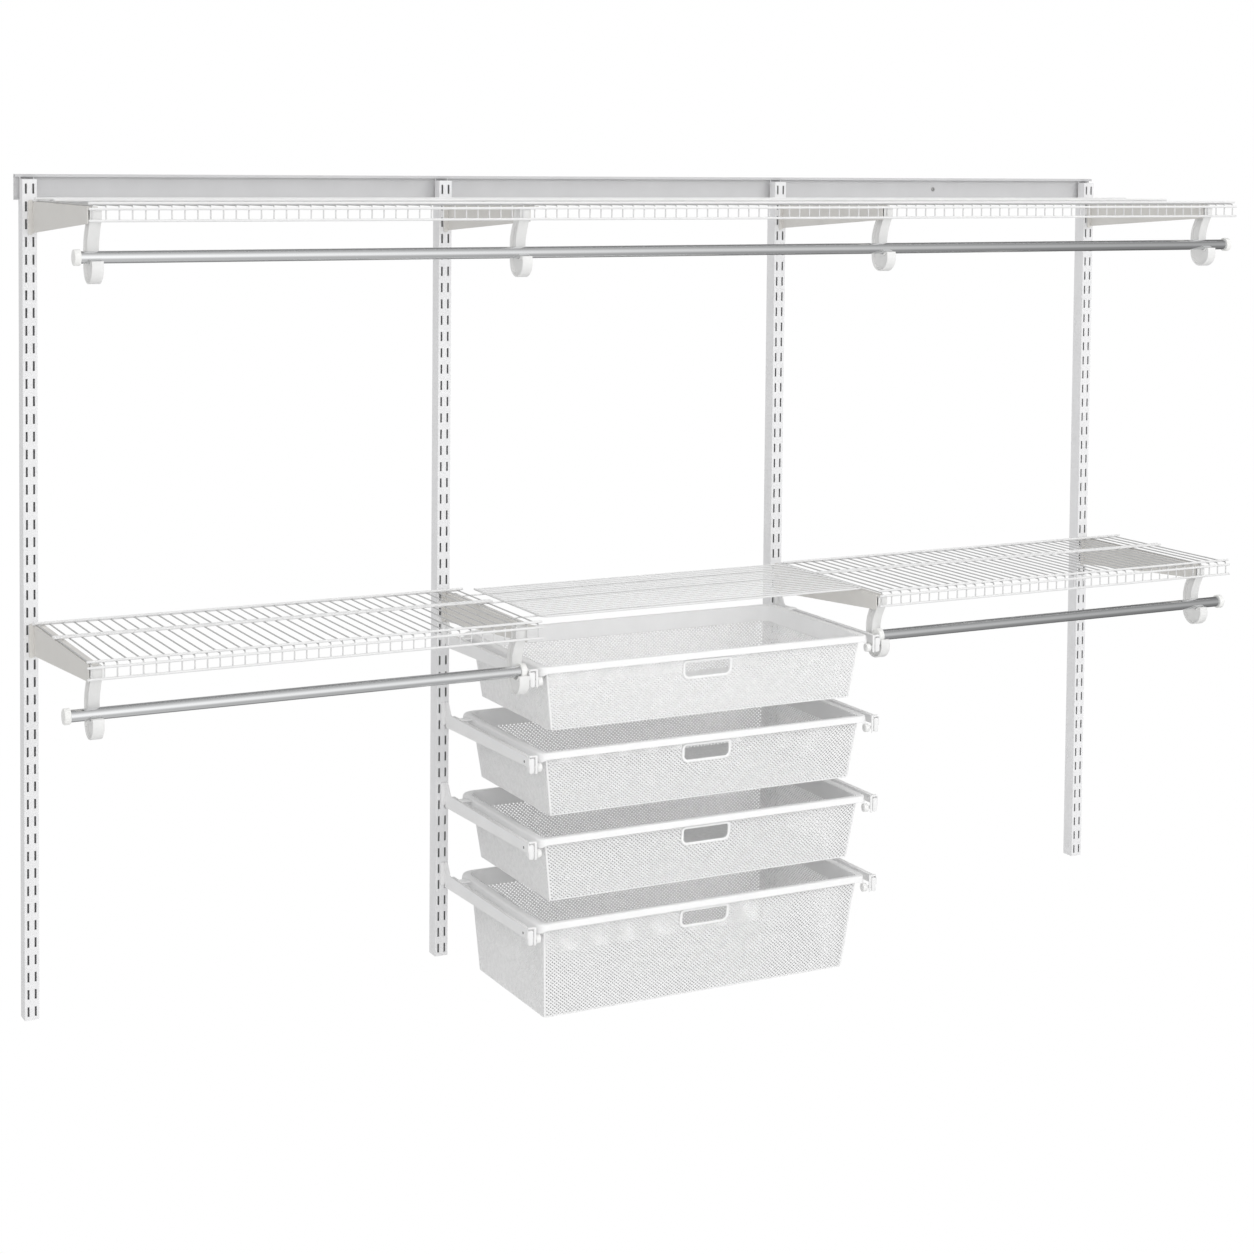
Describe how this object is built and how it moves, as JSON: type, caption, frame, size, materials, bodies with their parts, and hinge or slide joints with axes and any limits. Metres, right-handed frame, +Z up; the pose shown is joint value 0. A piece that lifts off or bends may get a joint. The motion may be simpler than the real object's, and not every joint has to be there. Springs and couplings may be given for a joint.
{
  "type": "wall mounted closet system",
  "caption": "Wall mounted closet system: slotted standards on a track carry wire shelves, chrome hanging rods and a stack of sliding mesh drawers.",
  "frame": {"origin": "middle of the top track's wall face", "axes": "+X along the wall to the right as seen from the room, +Y into the wall, +Z up"},
  "size_m": [2.5099, 0.424, 1.567],
  "materials": {
    "track_steel": "satin white powder coat",
    "standard_steel": "satin white powder coat",
    "shelf_wire": "satin white powder coat",
    "bracket_steel": "satin white powder coat",
    "hook_plastic": "matte white",
    "rod_chrome": "polished",
    "cap_plastic": "matte white",
    "basket_steel": "satin white powder coat",
    "handle_plastic": "matte white",
    "arm_steel": "satin white powder coat",
    "roller_plastic": "matte white"
  },
  "bodies": {
    "frame": {"top_track": "track_steel", "standard_1": "standard_steel", "standard_2": "standard_steel", "standard_3": "standard_steel", "standard_4": "standard_steel", "shelf_upper": "shelf_wire", "shelf_lower_left": "shelf_wire", "shelf_lower_right": "shelf_wire", "shelf_centre": "shelf_wire", "bracket_upper_1": "bracket_steel", "bracket_upper_2": "bracket_steel", "bracket_upper_3": "bracket_steel", "bracket_upper_4": "bracket_steel", "bracket_lower_1": "bracket_steel", "bracket_lower_2": "bracket_steel", "bracket_lower_3": "bracket_steel", "bracket_lower_4": "bracket_steel", "rod_hook_upper_1": "hook_plastic", "rod_hook_upper_2": "hook_plastic", "rod_hook_upper_3": "hook_plastic", "rod_hook_upper_4": "hook_plastic", "rod_hook_lower_1": "hook_plastic", "rod_hook_lower_2": "hook_plastic", "rod_hook_lower_3": "hook_plastic", "rod_hook_lower_4": "hook_plastic", "rod_upper": "rod_chrome", "rod_lower_left": "rod_chrome", "rod_lower_right": "rod_chrome", "cap_upper_left": "cap_plastic", "cap_upper_right": "cap_plastic", "cap_lower_left_left": "cap_plastic", "cap_lower_left_right": "cap_plastic", "cap_lower_right_left": "cap_plastic", "cap_lower_right_right": "cap_plastic", "arm_left_1": "arm_steel", "arm_right_1": "arm_steel", "arm_left_2": "arm_steel", "arm_right_2": "arm_steel", "arm_left_3": "arm_steel", "arm_right_3": "arm_steel", "arm_left_4": "arm_steel", "arm_right_4": "arm_steel"},
    "drawer_1": {"basket_1": "basket_steel", "handle_1": "handle_plastic"},
    "roller_left_1": {"roller_left_1": "roller_plastic"},
    "roller_right_1": {"roller_right_1": "roller_plastic"},
    "drawer_2": {"basket_2": "basket_steel", "handle_2": "handle_plastic"},
    "roller_left_2": {"roller_left_2": "roller_plastic"},
    "roller_right_2": {"roller_right_2": "roller_plastic"},
    "drawer_3": {"basket_3": "basket_steel", "handle_3": "handle_plastic"},
    "roller_left_3": {"roller_left_3": "roller_plastic"},
    "roller_right_3": {"roller_right_3": "roller_plastic"},
    "drawer_4": {"basket_4": "basket_steel", "handle_4": "handle_plastic"},
    "roller_left_4": {"roller_left_4": "roller_plastic"},
    "roller_right_4": {"roller_right_4": "roller_plastic"}
  },
  "joints": [
    {"name": "drawer_1_slide", "type": "slide", "parent": "frame", "child": "drawer_1", "axis": [0, -1, 0], "range_m": [0, 0.3]},
    {"name": "roller_left_1_turn", "type": "hinge", "parent": "frame", "child": "roller_left_1", "pos_m": [-0.35125, -0.4115, -0.8989], "axis": [1, 0, 0], "continuous": true},
    {"name": "roller_right_1_turn", "type": "hinge", "parent": "frame", "child": "roller_right_1", "pos_m": [0.36445, -0.4115, -0.8989], "axis": [1, 0, 0], "continuous": true},
    {"name": "drawer_2_slide", "type": "slide", "parent": "frame", "child": "drawer_2", "axis": [0, -1, 0], "range_m": [0, 0.3]},
    {"name": "roller_left_2_turn", "type": "hinge", "parent": "frame", "child": "roller_left_2", "pos_m": [-0.35125, -0.4115, -1.0589], "axis": [1, 0, 0], "continuous": true},
    {"name": "roller_right_2_turn", "type": "hinge", "parent": "frame", "child": "roller_right_2", "pos_m": [0.36445, -0.4115, -1.0589], "axis": [1, 0, 0], "continuous": true},
    {"name": "drawer_3_slide", "type": "slide", "parent": "frame", "child": "drawer_3", "axis": [0, -1, 0], "range_m": [0, 0.3]},
    {"name": "roller_left_3_turn", "type": "hinge", "parent": "frame", "child": "roller_left_3", "pos_m": [-0.35125, -0.4115, -1.2189], "axis": [1, 0, 0], "continuous": true},
    {"name": "roller_right_3_turn", "type": "hinge", "parent": "frame", "child": "roller_right_3", "pos_m": [0.36445, -0.4115, -1.2189], "axis": [1, 0, 0], "continuous": true},
    {"name": "drawer_4_slide", "type": "slide", "parent": "frame", "child": "drawer_4", "axis": [0, -1, 0], "range_m": [0, 0.3]},
    {"name": "roller_left_4_turn", "type": "hinge", "parent": "frame", "child": "roller_left_4", "pos_m": [-0.35125, -0.4115, -1.3789], "axis": [1, 0, 0], "continuous": true},
    {"name": "roller_right_4_turn", "type": "hinge", "parent": "frame", "child": "roller_right_4", "pos_m": [0.36445, -0.4115, -1.3789], "axis": [1, 0, 0], "continuous": true}
  ],
  "couplings": [
    {"joint": "roller_left_1_turn", "follows": "drawer_1_slide", "rad_per_m": 125},
    {"joint": "roller_right_1_turn", "follows": "drawer_1_slide", "rad_per_m": 125},
    {"joint": "roller_left_2_turn", "follows": "drawer_2_slide", "rad_per_m": 125},
    {"joint": "roller_right_2_turn", "follows": "drawer_2_slide", "rad_per_m": 125},
    {"joint": "roller_left_3_turn", "follows": "drawer_3_slide", "rad_per_m": 125},
    {"joint": "roller_right_3_turn", "follows": "drawer_3_slide", "rad_per_m": 125},
    {"joint": "roller_left_4_turn", "follows": "drawer_4_slide", "rad_per_m": 125},
    {"joint": "roller_right_4_turn", "follows": "drawer_4_slide", "rad_per_m": 125}
  ]
}
